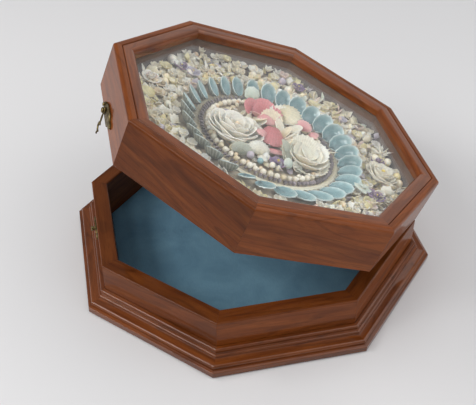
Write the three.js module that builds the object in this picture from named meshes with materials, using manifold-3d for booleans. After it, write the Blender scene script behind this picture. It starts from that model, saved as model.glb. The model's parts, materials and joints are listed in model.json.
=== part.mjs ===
// Eight-sided wooden shell box: a lined tray and a hinged, glazed lid that holds a round of sea shells.
// Millimetres, +Z up. The origin is the centre of the underside, and the hook faces -Y.
// The lid stands open at rest. In the lid's own frame, z = 0 is its lower rim.
import * as THREE from "three";
import { mergeVertices } from "three/addons/utils/BufferGeometryUtils.js";
import Module from "manifold-3d";

const wasm = await Module();
wasm.setup();

const SIDES = 8;
const ACROSS_FLATS = 254;
const WALL = 13;
const TRAY_HEIGHT = 41.5;
const LID_HEIGHT = 39.6;
const RIM_GAP = 0.3;
const LID_OPEN_DEG = 21.6;
const FIT = 0.3;

const MOULDING_OUT = 14.8;
const MOULDING_HEIGHT = 17.2;
const BOTTOM_THICK = 5;
const PAD_THICK = 2;

const GLASS_LEDGE = 28;
const GLASS_THICK = 3;
const REBATE_WALL = 6.35;
const BEAD_SIGHT = 16.5;

const LID_PAD_Z = 4.8;
const LID_PAD_THICK = 1;
const BACKING_THICK = 2.4;
const CARD_THICK = 1;
const SIDE_LINING_THICK = 0.8;

const HINGE_AXIS_OUT = 2.3;
const HINGE_SPREAD = 30;
const LEAF_LENGTH = 26;
const LEAF_THICK = 0.9;
const LEAF_INSET = 2;
const KNUCKLE_R = 1.9;
const PIN_R = 0.8;
const PIN_BORE_R = 1.05;

const PLATE_THICK = 1.2;
const FLUSH_PIN_H = 0.4;
const PIN_SINK = 0.2;
const PIVOT_X = -7;
const PIVOT_ABOVE_RIM = 6;
const HOOK_REACH = 15;
const HOOK_THICK = 1.4;
const STUD_R = 1.5;

const PEARL_RING_R = 49;
const PEARL_R = 2.7;
const PEARLS = 50;
const RIBBED_IN = 53;
const RIBBED_OUT = 58.2;
const RIBBED_SHELLS = 42;
const EDGING_R = 59.6;
const EDGING_THICK = 0.8;
const BLUE_IN = 60.8;
const BLUE_OUT = 76.5;
const BLUE_SHELLS = 27;
const FIELD_IN = 78;
const BED_THICK = 1;

const outer = ACROSS_FLATS / 2;
const inner = outer - WALL;
const lidZ = TRAY_HEIGHT + RIM_GAP;
const hingeY = outer + HINGE_AXIS_OUT;
const hingeZ = TRAY_HEIGHT + RIM_GAP / 2;
const backingZ = LID_PAD_Z + LID_PAD_THICK + FIT;
const cardZ = backingZ + BACKING_THICK + FIT;
const bedZ = cardZ + CARD_THICK + FIT;
const glassZ = GLASS_LEDGE + FIT;
const beadZ = glassZ + GLASS_THICK + FIT;
const turn = (2 * Math.PI) / SIDES;
const cosHalf = Math.cos(turn / 2);
const tanHalf = Math.tan(turn / 2);

const finish = (color, roughness, metalness = 0) =>
  new THREE.MeshStandardMaterial({ color, roughness, metalness });
const wood = () => finish(0x6b4028, 0.35);
const brass = () => finish(0x8a7440, 0.4, 1);
const blueCloth = () => finish(0x4f7488, 0.95);
const shell = (color) => finish(color, 0.4);

// Geometry helpers

function signedVolume(geometry) {
  const p = geometry.getAttribute("position");
  const index = geometry.index.array;
  const [a, b, c] = [new THREE.Vector3(), new THREE.Vector3(), new THREE.Vector3()];
  let sum = 0;
  for (let i = 0; i < index.length; i += 3) {
    a.fromBufferAttribute(p, index[i]);
    b.fromBufferAttribute(p, index[i + 1]);
    c.fromBufferAttribute(p, index[i + 2]);
    sum += a.dot(b.cross(c)) / 6;
  }
  return sum;
}

// A closed geometry from vertices and triangles, turned to face out.
function closedGeometry(vertices, triangles) {
  const geometry = new THREE.BufferGeometry();
  geometry.setAttribute("position", new THREE.Float32BufferAttribute(vertices.flat(), 3));
  geometry.setIndex(triangles.flat());
  if (signedVolume(geometry) < 0) geometry.setIndex(triangles.map((t) => [t[0], t[2], t[1]]).flat());
  return geometry;
}

function bare(geometry) {
  const g = geometry.clone();
  for (const name of Object.keys(g.attributes)) if (name !== "position") g.deleteAttribute(name);
  return mergeVertices(g, 1e-4);
}

// A closed turned shape about the Y axis, from [radius, y] points, facing out.
function turned(points, sides) {
  const g = bare(new THREE.LatheGeometry(points.map(([a, b]) => new THREE.Vector2(a, b)), sides));
  if (signedVolume(g) < 0) {
    const t = g.index.array;
    for (let i = 0; i < t.length; i += 3) [t[i + 1], t[i + 2]] = [t[i + 2], t[i + 1]];
  }
  return g;
}

function toSolid(geometry) {
  const g = bare(geometry);
  return new wasm.Manifold(
    new wasm.Mesh({
      numProp: 3,
      vertProperties: new Float32Array(g.getAttribute("position").array),
      triVerts: new Uint32Array(g.index.array),
    }),
  );
}

function toGeometry(solid) {
  const mesh = solid.getMesh();
  const geometry = new THREE.BufferGeometry();
  geometry.setAttribute("position", new THREE.BufferAttribute(mesh.vertProperties, 3));
  geometry.setIndex(new THREE.BufferAttribute(mesh.triVerts, 1));
  return geometry;
}

const fuse = (geometries) => toGeometry(wasm.Manifold.union(geometries.map(toSolid)));
const cut = (geometry, tools) =>
  toGeometry(tools.map(toSolid).reduce((solid, tool) => solid.subtract(tool), toSolid(geometry)));

function arc(cx, cy, r, fromDeg, toDeg, steps) {
  const points = [];
  for (let i = 0; i <= steps; i++) {
    const a = THREE.MathUtils.degToRad(fromDeg + ((toDeg - fromDeg) * i) / steps);
    points.push([cx + r * Math.cos(a), cy + r * Math.sin(a)]);
  }
  return points;
}

function box(x0, x1, y0, y1, z0, z1) {
  const g = new THREE.BoxGeometry(x1 - x0, y1 - y0, z1 - z0);
  return g.translate((x0 + x1) / 2, (y0 + y1) / 2, (z0 + z1) / 2);
}

// A straight length of profile for the front side, its ends cut on the corner's mitre.
// The profile's points are [distance from the box's axis, height].
function mitredLength(profile) {
  const n = profile.length;
  const joint = FIT / 2 / cosHalf;
  const end = (side) => profile.map(([a, z]) => [side * (a * tanHalf - joint), -a, z]);
  const triangles = [];
  for (let i = 0; i < n; i++) {
    const j = (i + 1) % n;
    triangles.push([i, j, n + j], [i, n + j, n + i]);
  }
  const flat = profile.map(([a, z]) => new THREE.Vector2(a, z));
  for (const [a, b, c] of THREE.ShapeUtils.triangulateShape(flat, [])) {
    const flip = THREE.ShapeUtils.isClockWise(flat) ? 1 : -1;
    triangles.push(flip > 0 ? [a, b, c] : [a, c, b]);
    triangles.push(flip > 0 ? [n + a, n + c, n + b] : [n + a, n + b, n + c]);
  }
  return orient(end(-1).concat(end(1)), triangles, n);
}

// Turns the ends' triangles to agree with the sides, then the whole to face out.
function orient(vertices, triangles, n) {
  const edges = new Set();
  const sides = triangles.slice(0, 2 * n);
  for (const [a, b, c] of sides) for (const e of [[a, b], [b, c], [c, a]]) edges.add(e.join());
  const ends = triangles.slice(2 * n);
  const clash = ends.some(([a, b, c]) => [[a, b], [b, c], [c, a]].some((e) => edges.has(e.join())));
  const fixed = clash ? ends.map(([a, b, c]) => [a, c, b]) : ends;
  return closedGeometry(vertices, sides.concat(fixed));
}

function octagonPlate(apothem, z0, thick) {
  const g = new THREE.CylinderGeometry(apothem / cosHalf, apothem / cosHalf, thick, SIDES);
  return g.rotateX(Math.PI / 2).rotateZ(turn / 2).translate(0, 0, z0 + thick / 2);
}

function octagonPoints(apothem) {
  const r = apothem / cosHalf;
  return Array.from({ length: SIDES }, (_, i) => {
    const a = turn / 2 + i * turn;
    return new THREE.Vector2(r * Math.cos(a), r * Math.sin(a));
  });
}

function extrude(shape, depth, curveSegments = 6) {
  return new THREE.ExtrudeGeometry(shape, { depth, bevelEnabled: false, curveSegments });
}

// A flat outline drawn as seen from the front, standing between two distances in front of y = 0.
function frontPlate(shape, nearY, farY, curveSegments) {
  return extrude(shape, farY - nearY, curveSegments).rotateX(Math.PI / 2).translate(0, -nearY, 0);
}

// A round bar along Y from y0 to y1.
function barY(r, x, z, y0, y1, sides = 12) {
  return new THREE.CylinderGeometry(r, r, y1 - y0, sides).translate(x, (y0 + y1) / 2, z);
}

// A round-headed pin seen from the front, its base at y0 and its crown towards -Y.
function pinHead(r, h, x, z, y0) {
  const g = turned([[0, 0], [r, 0], [r * 0.8, h * 0.65], [0, h]], 8);
  return g.rotateX(Math.PI).translate(x, y0, z);
}

// Wood profiles, as [distance from the axis, height]

function trayWallProfile() {
  const r = 1.2;
  return [
    [inner, 0],
    [outer, 0],
    ...arc(outer - r, TRAY_HEIGHT - r, r, 0, 90, 3),
    ...arc(inner + r, TRAY_HEIGHT - r, r, 90, 180, 3),
  ];
}

// From the wall down: a small bead, a cove, a rounded shoulder, a second shoulder and a square foot.
function mouldingProfile() {
  const a = outer + FIT;
  const out = outer + MOULDING_OUT;
  return [
    [a, 0],
    [out, 0],
    [out, 5],
    [out - 0.8, 5.8],
    [out - 2.2, 5.9],
    ...arc(out - 4.7, 7.2, 2.1, -10, 78, 3),
    [out - 6.8, 9.3],
    [out - 9.3, 9.9],
    ...arc(out - 10.9, 11.2, 1.5, -20, 80, 3),
    [out - 11.5, 13.3],
    ...arc(a + 1.9, MOULDING_HEIGHT - 1.5, 1.5, 0, 90, 3),
    [a, MOULDING_HEIGHT],
  ];
}

function lidWallProfile() {
  const r = 3;
  const edge = 0.7;
  const rebate = outer - REBATE_WALL;
  return [
    [inner, 0],
    [outer - edge, 0],
    [outer, edge],
    ...arc(outer - r, LID_HEIGHT - r, r, 0, 90, 4),
    [rebate + edge, LID_HEIGHT],
    [rebate, LID_HEIGHT - edge],
    [rebate, GLASS_LEDGE],
    [inner, GLASS_LEDGE],
  ];
}

function glazingBeadProfile() {
  const a = outer - REBATE_WALL - FIT;
  const sight = outer - BEAD_SIGHT;
  const top = LID_HEIGHT - 0.2;
  const round = 4;
  return [
    [sight, beadZ],
    [a, beadZ],
    [a, top - 0.7],
    [a - 0.7, top],
    ...arc(sight + round, top - round, round, 90, 180, 4),
  ];
}

// Places a front side's geometry on each of the eight sides, counted from the front towards +X.
function eightSides(group, name, geometryOf, material) {
  for (let side = 1; side <= SIDES; side++) {
    const mesh = new THREE.Mesh(geometryOf(side), material());
    mesh.name = name + "_" + side;
    mesh.rotation.z = (side - 1) * turn;
    group.add(mesh);
  }
}

function add(group, name, geometry, material) {
  const mesh = new THREE.Mesh(geometry, material);
  mesh.name = name;
  group.add(mesh);
  return mesh;
}

// Hinges: the leaves are let into the two rims of the back side

const BACK_SIDE = 5;
const hingeXs = [-HINGE_SPREAD, HINGE_SPREAD];
const leafInnerY = inner + LEAF_INSET;

// The recess for a leaf, in a side's own front-facing frame.
function leafRecess(x, z0, z1) {
  const spare = FIT;
  return box(x - LEAF_LENGTH / 2 - spare, x + LEAF_LENGTH / 2 + spare, -outer - 1, -leafInnerY + spare, z0, z1);
}

function knuckle(x0, x1) {
  const points = [[PIN_BORE_R, x0], [KNUCKLE_R, x0], [KNUCKLE_R, x1], [PIN_BORE_R, x1], [PIN_BORE_R, x0]];
  return turned(points, 8).rotateZ(-Math.PI / 2);
}

// One leaf with its knuckles at x, y along the axis. The tray's leaf has the two outer knuckles.
function hingeLeaf(x, axisZ, leafZ0, knuckles) {
  const plate = box(x - LEAF_LENGTH / 2, x + LEAF_LENGTH / 2, leafInnerY, outer - 0.2, leafZ0, leafZ0 + LEAF_THICK);
  const pieces = [toSolid(plate)];
  const tongueEnd = hingeY - (KNUCKLE_R + PIN_BORE_R) / 2;
  for (const [k0, k1] of knuckles) {
    pieces.push(toSolid(box(x + k0, x + k1, outer - 1, tongueEnd, leafZ0, leafZ0 + LEAF_THICK)));
    pieces.push(toSolid(knuckle(k0, k1).translate(x, hingeY, axisZ)));
  }
  return toGeometry(wasm.Manifold.union(pieces));
}

function hingePin(x) {
  const half = LEAF_LENGTH / 2;
  const head = 1.1;
  const neck = half + FIT;
  const end = [[PIN_R, half], [PIN_R, neck], [head, neck + 0.2], [head * 0.8, neck + 0.8], [0, neck + head]];
  const points = end.map(([r, y]) => [r, -y]).reverse().concat(end);
  return turned(points, 6).rotateZ(-Math.PI / 2).translate(x, hingeY, hingeZ);
}

const third = LEAF_LENGTH / 3;
const outerKnuckles = [[-LEAF_LENGTH / 2, -third / 2 - FIT / 2], [third / 2 + FIT / 2, LEAF_LENGTH / 2]];
const middleKnuckle = [[-third / 2 + FIT / 2, third / 2 - FIT / 2]];

// Clasp

// A plate with a waisted middle and a round lobe and point at each end, about (0, cz).
function lobedPlate(halfLength, halfHeight, lobe, cz) {
  const neck = halfLength - 2.2 * lobe;
  const s = new THREE.Shape();
  s.moveTo(halfLength, cz);
  s.quadraticCurveTo(halfLength - lobe * 0.6, cz + lobe, halfLength - 1.6 * lobe, cz + lobe * 0.75);
  s.quadraticCurveTo(neck, cz + lobe * 0.5, neck - lobe, cz + halfHeight);
  s.lineTo(-neck + lobe, cz + halfHeight);
  s.quadraticCurveTo(-neck, cz + lobe * 0.5, -halfLength + 1.6 * lobe, cz + lobe * 0.75);
  s.quadraticCurveTo(-halfLength + lobe * 0.6, cz + lobe, -halfLength, cz);
  s.quadraticCurveTo(-halfLength + lobe * 0.6, cz - lobe, -halfLength + 1.6 * lobe, cz - lobe * 0.75);
  s.quadraticCurveTo(-neck, cz - lobe * 0.5, -neck + lobe, cz - halfHeight);
  s.lineTo(neck - lobe, cz - halfHeight);
  s.quadraticCurveTo(neck, cz - lobe * 0.5, halfLength - 1.6 * lobe, cz - lobe * 0.75);
  s.quadraticCurveTo(halfLength - lobe * 0.6, cz - lobe, halfLength, cz);
  return s;
}

const plateFace = outer + FIT + PLATE_THICK;
const hookFace = plateFace + FIT;

// The plate's two pins: a round knob that stops the hook's swing, and one that is nearly flush.
function claspPlate() {
  const cz = PIVOT_ABOVE_RIM + 0.6;
  const pinX = 14.5;
  return fuse([
    frontPlate(lobedPlate(17.5, 5.2, 3, cz), outer + FIT, plateFace, 3),
    pinHead(1.8, 2, -pinX, cz, -plateFace + PIN_SINK),
    pinHead(1.5, FLUSH_PIN_H, pinX, cz, -plateFace + PIN_SINK),
    barY(1.2, PIVOT_X, PIVOT_ABOVE_RIM, -hookFace - HOOK_THICK - FIT - PIN_SINK, -plateFace + PIN_SINK, 8),
    pinHead(2.3, 1.3, PIVOT_X, PIVOT_ABOVE_RIM, -hookFace - HOOK_THICK - FIT),
  ]);
}

const studDrop = Math.sqrt(HOOK_REACH ** 2 - PIVOT_X ** 2) - PIVOT_ABOVE_RIM - RIM_GAP;

function catchPlate() {
  const cz = TRAY_HEIGHT - studDrop;
  const pinX = 10;
  return fuse([
    frontPlate(lobedPlate(13.5, 4.2, 2.6, cz), outer + FIT, plateFace, 3),
    barY(STUD_R, 0, cz, -hookFace - HOOK_THICK - FIT - PIN_SINK, -plateFace + PIN_SINK, 10),
    pinHead(2.4, 1.6, 0, cz, -hookFace - HOOK_THICK - FIT),
    pinHead(1.3, FLUSH_PIN_H, -pinX, cz, -plateFace + PIN_SINK),
    pinHead(1.3, FLUSH_PIN_H, pinX, cz, -plateFace + PIN_SINK),
  ]);
}

// The hook hangs from its eye at the pivot. Its mouth faces +X, and it ends in a small knob.
function claspHook() {
  const eye = 3;
  const arm = 1.4;
  const inR = STUD_R + 0.9;
  const outR = inR + 1.9;
  const cz = -HOOK_REACH;
  const s = new THREE.Shape();
  s.absarc(0, 0, eye, THREE.MathUtils.degToRad(-60), THREE.MathUtils.degToRad(240), false);
  s.lineTo(-arm, cz + outR + 3);
  for (const [x, z] of arc(0, cz, outR, 125, 250, 8)) s.lineTo(x, z);
  s.lineTo(-2.6, cz - outR - 2.2);
  for (const [x, z] of arc(-1.6, cz - outR - 2.6, 1.2, 160, 380, 5)) s.lineTo(x, z);
  for (const [x, z] of arc(0, cz, outR, 275, 312, 3)) s.lineTo(x, z);
  for (const [x, z] of arc(0, cz, inR, 312, 48, 9)) s.lineTo(x, z);
  for (const [x, z] of arc(0, cz, outR, 48, 62, 1)) s.lineTo(x, z);
  s.lineTo(arm, cz + outR + 2.4);
  s.closePath();
  const hole = new THREE.Path();
  hole.absarc(0, 0, 1.5, 0, 2 * Math.PI, true);
  s.holes.push(hole);
  return frontPlate(s, hookFace, hookFace + HOOK_THICK, 5).translate(PIVOT_X, 0, PIVOT_ABOVE_RIM);
}

// Shells, each a small closed solid with its foot near z = 0

// Even numbers between 0 and 1 that look random and never change.
const pick = (i, salt = 0) => {
  const v = Math.sin(i * 12.9898 + salt * 78.233) * 43758.5453;
  return v - Math.floor(v);
};

// A rounded heap over an oval foot.
function domeShell(rx, ry, h, sides = 5) {
  const points = [[0, -0.6], [1, -0.6], [0.74, 0.6 * h], [0, h]];
  return turned(points, sides).rotateX(Math.PI / 2).scale(rx, ry, 1);
}

// A tall spire that leans.
function spireShell(r, h, lean) {
  const g = new THREE.ConeGeometry(r, h + 0.6, 5).rotateX(Math.PI / 2).translate(0, 0, h / 2 - 0.3);
  return g.applyMatrix4(new THREE.Matrix4().makeShear(0, 0, 0, 0, lean, lean * 0.5));
}

// A thin cupped plate that runs along +X from its hinge end, its sides and tip raised by cup.
function cuppedShell(length, width, cup, thick) {
  const across = 2;
  const along = 2;
  const top = [];
  for (let i = 0; i <= along; i++) {
    const t = i / along;
    const half = (width / 2) * Math.max(0.45, Math.sin(Math.PI * (0.15 + 0.7 * t)));
    for (let j = 0; j <= across; j++) {
      const u = (2 * j) / across - 1;
      top.push([length * t, half * u, cup * (u * u * 0.7 + (2 * t - 0.8) ** 2 * 0.5)]);
    }
  }
  const n = top.length;
  const row = across + 1;
  const triangles = [];
  for (let i = 0; i < along; i++)
    for (let j = 0; j < across; j++) {
      const [a, b, c, d] = [i * row + j, i * row + j + 1, (i + 1) * row + j + 1, (i + 1) * row + j];
      triangles.push([a, c, b], [a, d, c], [n + a, n + b, n + c], [n + a, n + c, n + d]);
    }
  const rim = [];
  for (let j = 0; j < across; j++) rim.push(j);
  for (let i = 0; i < along; i++) rim.push(i * row + across);
  for (let j = across; j > 0; j--) rim.push(along * row + j);
  for (let i = along; i > 0; i--) rim.push(i * row);
  rim.forEach((a, k) => {
    const b = rim[(k + 1) % rim.length];
    triangles.push([a, b, n + b], [a, n + b, n + a]);
  });
  const bottom = top.map(([x, y, z]) => [x, y, z - thick]);
  return closedGeometry(top.concat(bottom), triangles);
}

function polar(r, angle) {
  return [r * Math.cos(angle), r * Math.sin(angle)];
}

// A closed ring about the Z axis. Each station round it has a closed section of [radius, z] points.
function ringSweep(stations, sectionOf) {
  const rows = Array.from({ length: stations }, (_, k) =>
    sectionOf(k).map(([r, z]) => [...polar(r, (k * 2 * Math.PI) / stations), z]),
  );
  const n = rows[0].length;
  const triangles = [];
  rows.forEach((_, k) => {
    const next = ((k + 1) % stations) * n;
    for (let i = 0; i < n; i++) {
      const j = (i + 1) % n;
      triangles.push([k * n + i, next + i, next + j], [k * n + i, next + j, k * n + j]);
    }
  });
  return closedGeometry(rows.flat(), triangles);
}

function ringBed(rIn, rOut, z0, thick, segments = 36) {
  return ringSweep(segments, () => [[rIn, z0], [rOut, z0], [rOut, z0 + thick], [rIn, z0 + thick]]);
}

function disc(r, z0, thick, segments = 36) {
  return turned([[0, z0], [r, z0], [r, z0 + thick], [0, z0 + thick]], segments).rotateX(Math.PI / 2);
}

// One ring of a rose: a thin cup whose lip rises and spreads at each petal and dips between them.
function petalCup({ petals, foot, lip, base, rise }, radius, height) {
  const thick = 1.3;
  return ringSweep(2 * petals, (k) => {
    const full = k % 2 === 0;
    const r = radius * lip * (full ? 1 : 0.86);
    const z = height * rise * (full ? 1 : 0.8);
    const z0 = height * base;
    const r0 = radius * foot;
    const belly = [r0 + (r - r0) * 0.75, z0 + (z - z0) * 0.4];
    return [[r0, z0], belly, [r, z], [r - thick * 0.8, z + 0.3], [belly[0] - thick, belly[1] + 0.4], [r0 - thick, z0]];
  });
}

// A rose of nested petal cups round a closed heart.
function shellRose(radius, height, rings, heart) {
  const pieces = [disc(radius * 0.55, 0, 1.2, 12)];
  rings.forEach((ring, k) => pieces.push(petalCup(ring, radius, height).rotateZ(k * 0.4)));
  pieces.push(domeShell(radius * heart, radius * heart, height * 0.8, 6).translate(0, 0, 0.8));
  return fuse(pieces);
}

const creamRings = [
  { petals: 7, foot: 0.5, lip: 1, base: 0, rise: 0.5 },
  { petals: 5, foot: 0.42, lip: 0.76, base: 0.03, rise: 0.8 },
  { petals: 4, foot: 0.3, lip: 0.48, base: 0.06, rise: 1 },
];
const pinkRings = [
  { petals: 4, foot: 0.45, lip: 1, base: 0, rise: 0.85 },
  { petals: 3, foot: 0.32, lip: 0.6, base: 0.05, rise: 1 },
];
const flowerRings = [{ petals: 6, foot: 0.5, lip: 1, base: 0, rise: 0.75 }];

// A ring of round beads, two stations to each bead.
function pearlRing() {
  const z = bedZ + 2;
  return ringSweep(2 * PEARLS, (k) => {
    const r = k % 2 === 0 ? PEARL_R : PEARL_R * 0.6;
    const bead = arc(PEARL_RING_R, z + PEARL_R * 0.6, r, 10, 170, 3);
    return [[PEARL_RING_R - 2, bedZ], [PEARL_RING_R + 2, bedZ], ...bead];
  });
}

// A ring of thin ribs side by side, as small dark shells stand on edge.
function ribbedShells() {
  return ringSweep(2 * RIBBED_SHELLS, (k) => {
    const top = bedZ + (k % 2 === 0 ? 5.2 : 3);
    return [[RIBBED_IN, bedZ], [RIBBED_OUT, bedZ], [RIBBED_OUT - 0.6, top], [RIBBED_IN + 1.8, top]];
  });
}

function blueShells() {
  const slope = 31;
  const roll = 24;
  const length = (BLUE_OUT - BLUE_IN - 1) / Math.cos(THREE.MathUtils.degToRad(slope));
  const pieces = [ringBed(BLUE_IN, BLUE_OUT - 1, bedZ, BED_THICK)];
  for (let i = 0; i < BLUE_SHELLS; i++) {
    const one = cuppedShell(length, 13, -2.4, 1.2);
    one.rotateX(THREE.MathUtils.degToRad(roll));
    one.rotateY(-THREE.MathUtils.degToRad(slope));
    one.translate(BLUE_IN + 1.2, 0, bedZ + 1.6);
    pieces.push(one.rotateZ(((i + 0.3) * 2 * Math.PI) / BLUE_SHELLS));
  }
  return cut(fuse(pieces), [disc(BLUE_OUT + 20, bedZ - 10, 10)]);
}

// The mixed shells between the blue ring and the walls: three rings of small shells of three kinds.
const fieldRings = [
  { r: 86, count: 18, tall: 0 },
  { r: 95.5, count: 20, tall: 0.5 },
  { r: 105, count: 24, tall: 1.5 },
];

function outerShells() {
  const limit = inner - SIDE_LINING_THICK - 2 * FIT;
  const pieces = [cut(octagonPlate(limit, bedZ, BED_THICK), [disc(FIELD_IN, bedZ - 1, BED_THICK + 2)])];
  fieldRings.forEach(({ r, count, tall }, k) => {
    for (let i = 0; i < count; i++) {
      const seed = k * 100 + i;
      const size = 4.6 + 2.2 * pick(seed, 1);
      const height = 4 + 3.5 * pick(seed, 2) + tall;
      const kind = Math.floor(4 * pick(seed, 3));
      const one =
        kind === 0
          ? spireShell(size * 0.75, height * 1.35, 0.25 * (pick(seed, 4) - 0.5))
          : kind === 1
            ? cuppedShell(size * 2, size * 1.7, 1.6, 1.4)
                .rotateY(-0.35 - 0.5 * pick(seed, 4))
                .translate(-size * 0.8, 0, 0)
            : domeShell(size, size * (0.7 + 0.3 * pick(seed, 5)), height * 0.8);
      const [x, y] = polar(r + 1.5 * (pick(seed, 6) - 0.5), ((i + 0.4 * pick(seed, 7)) * 2 * Math.PI) / count);
      one.rotateZ(2 * Math.PI * pick(seed, 8));
      pieces.push(one.translate(x, y, bedZ + BED_THICK));
    }
  });
  return fuse(pieces);
}

// Where the big flowers of the centre stand: x, y and radius.
const centre = {
  leftRose: [-5.5, -28, 16.5],
  rightRose: [18.5, 21.5, 16.5],
  pinkRose: [-30.5, 8, 12],
  pinkCup: [8, -4, 10],
  flower: [32.5, -2.5, 6],
};

// The centre's card disc with its small shells.
function centreShells() {
  const pieces = [disc(PEARL_RING_R - 2 - FIT, bedZ, BED_THICK)];
  const small = [
    [-24, 29, 8, 5], [-9, 37, 5, 4], [6, 40, 5, 4], [40, 12, 4.5, 4], [24, -14, 5, 5],
    [17, -24, 6.5, 5], [26, -28, 4.5, 4], [-36, -14, 5, 5], [-20, -6, 5, 5], [-11, 11, 6, 5],
    [-37, 19, 4, 4], [13, -38, 4.5, 4], [36, -18, 4.5, 4],
  ];
  small.forEach(([x, y, r, h], i) => {
    pieces.push(domeShell(r, r * 0.85, h).rotateZ(i).translate(x, y, bedZ + BED_THICK));
  });
  return fuse(pieces);
}

// The tray

function buildTray() {
  const tray = new THREE.Group();
  const wall = mitredLength(trayWallProfile());
  const recesses = hingeXs.map((x) => leafRecess(x, TRAY_HEIGHT - LEAF_THICK - FIT, TRAY_HEIGHT + 1));
  const backWall = cut(wall, recesses);
  eightSides(tray, "tray_wall", (side) => (side === BACK_SIDE ? backWall : wall), wood);
  const moulding = mitredLength(mouldingProfile());
  eightSides(tray, "base_moulding", () => moulding, wood);
  add(tray, "bottom_board", octagonPlate(inner - FIT, 0, BOTTOM_THICK), wood());
  add(tray, "tray_lining", octagonPlate(inner - FIT, BOTTOM_THICK + FIT, PAD_THICK), blueCloth());
  add(tray, "catch_plate", catchPlate(), brass());
  hingeXs.forEach((x, i) => {
    const leafZ = TRAY_HEIGHT - LEAF_THICK;
    add(tray, "hinge_leaf_tray_" + (i + 1), hingeLeaf(x, hingeZ, leafZ, outerKnuckles), brass());
    add(tray, "hinge_pin_" + (i + 1), hingePin(x), brass());
  });
  return tray;
}

// The lid, in its own frame

function sideLining() {
  const a = inner - FIT;
  const ring = new THREE.Shape(octagonPoints(a));
  ring.holes.push(new THREE.Path(octagonPoints(a - SIDE_LINING_THICK)));
  return extrude(ring, GLASS_LEDGE - bedZ).translate(0, 0, bedZ);
}

function buildLid() {
  const lid = new THREE.Group();
  const wall = mitredLength(lidWallProfile());
  const recesses = hingeXs.map((x) => leafRecess(x, -1, LEAF_THICK + FIT));
  const backWall = cut(wall, recesses);
  eightSides(lid, "lid_wall", (side) => (side === BACK_SIDE ? backWall : wall), wood);
  const bead = mitredLength(glazingBeadProfile());
  eightSides(lid, "glazing_bead", () => bead, wood);
  const pane = add(lid, "glass_pane", octagonPlate(outer - REBATE_WALL - FIT, glassZ, GLASS_THICK), finish(0xdfe8e6, 0.05));
  pane.material.transparent = true;
  pane.material.opacity = 0.25;
  add(lid, "side_lining", sideLining(), finish(0x8b817c, 0.9));
  add(lid, "lid_lining", octagonPlate(inner - FIT, LID_PAD_Z, LID_PAD_THICK), blueCloth());
  add(lid, "backing_board", octagonPlate(inner - FIT, backingZ, BACKING_THICK), wood());
  add(lid, "shell_card", octagonPlate(inner - FIT, cardZ, CARD_THICK), finish(0x6f6862, 0.9));
  add(lid, "clasp_plate", claspPlate(), brass());
  const axisZ = hingeZ - lidZ;
  hingeXs.forEach((x, i) => {
    add(lid, "hinge_leaf_lid_" + (i + 1), hingeLeaf(x, axisZ, 0, middleKnuckle), brass());
  });
  add(lid, "clasp_hook", claspHook(), brass());
  addShellWork(lid);
  return lid;
}

function addShellWork(lid) {
  const top = bedZ + BED_THICK + FIT;
  add(lid, "outer_shells", outerShells(), shell(0xd8cdb4));
  add(lid, "blue_shells", blueShells(), shell(0x8fb8c0));
  add(lid, "cream_edging", new THREE.TorusGeometry(EDGING_R, EDGING_THICK, 4, 30).translate(0, 0, bedZ + EDGING_THICK), shell(0xd9cfb2));
  add(lid, "ribbed_shells", ribbedShells(), shell(0x5b5252));
  add(lid, "pearl_ring", pearlRing(), shell(0xe6dcc4));
  add(lid, "centre_shells", centreShells(), shell(0xcfc6ae));
  const place = (name, rings, [x, y, r], height, color, spin) => {
    const mesh = add(lid, name, shellRose(r, height, rings, 0.3), shell(color));
    mesh.position.set(x, y, top);
    mesh.rotation.z = spin;
  };
  place("cream_rose_left", creamRings, centre.leftRose, 11, 0xe8dfc6, 0.2);
  place("cream_rose_right", creamRings, centre.rightRose, 11, 0xe4dac0, 0.7);
  place("pink_rose", pinkRings, centre.pinkRose, 9, 0xd07a82, 0.4);
  place("pink_cup", pinkRings, centre.pinkCup, 9, 0xc87880, 1.1);
  place("small_flower", flowerRings, centre.flower, 5, 0x55465c, 0.1);
}

const root = new THREE.Group();
root.add(buildTray());
const swing = new THREE.Group();
swing.position.set(0, hingeY, hingeZ);
swing.rotation.x = -THREE.MathUtils.degToRad(LID_OPEN_DEG);
const lid = buildLid();
lid.position.set(0, -hingeY, lidZ - hingeZ);
swing.add(lid);
root.add(swing);

export default root;
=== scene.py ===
import json
import random
from math import atan2, cos, pi, radians, sin, tan

import bmesh
import bpy
from mathutils import Matrix, Vector


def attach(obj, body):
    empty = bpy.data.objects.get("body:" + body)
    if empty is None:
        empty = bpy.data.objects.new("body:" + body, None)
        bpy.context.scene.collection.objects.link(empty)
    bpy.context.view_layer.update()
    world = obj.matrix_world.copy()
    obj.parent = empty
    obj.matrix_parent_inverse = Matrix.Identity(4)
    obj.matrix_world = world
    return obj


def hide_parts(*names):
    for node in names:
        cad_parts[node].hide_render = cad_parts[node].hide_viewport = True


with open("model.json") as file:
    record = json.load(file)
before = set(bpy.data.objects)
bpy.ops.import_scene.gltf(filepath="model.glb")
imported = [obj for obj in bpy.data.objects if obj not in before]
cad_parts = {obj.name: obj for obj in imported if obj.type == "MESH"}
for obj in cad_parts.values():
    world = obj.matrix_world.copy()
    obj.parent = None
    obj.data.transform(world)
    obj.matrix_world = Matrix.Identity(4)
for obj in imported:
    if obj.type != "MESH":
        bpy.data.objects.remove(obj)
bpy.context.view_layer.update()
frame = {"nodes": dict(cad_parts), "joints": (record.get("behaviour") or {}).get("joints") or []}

# Lengths are in millimetres until a mesh is written in metres, and angles in degrees
mm = 0.001
fit = 0.3  # the CAD's gap between pieces that touch
sides = 8
turn = 2 * pi / sides  # from one side to the next, in radians
half = turn / 2
moved = Matrix.Translation
unmoved = Matrix.Identity(4)


def turned(deg, axis="Z"):
    return Matrix.Rotation(radians(deg), 4, axis)


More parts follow.
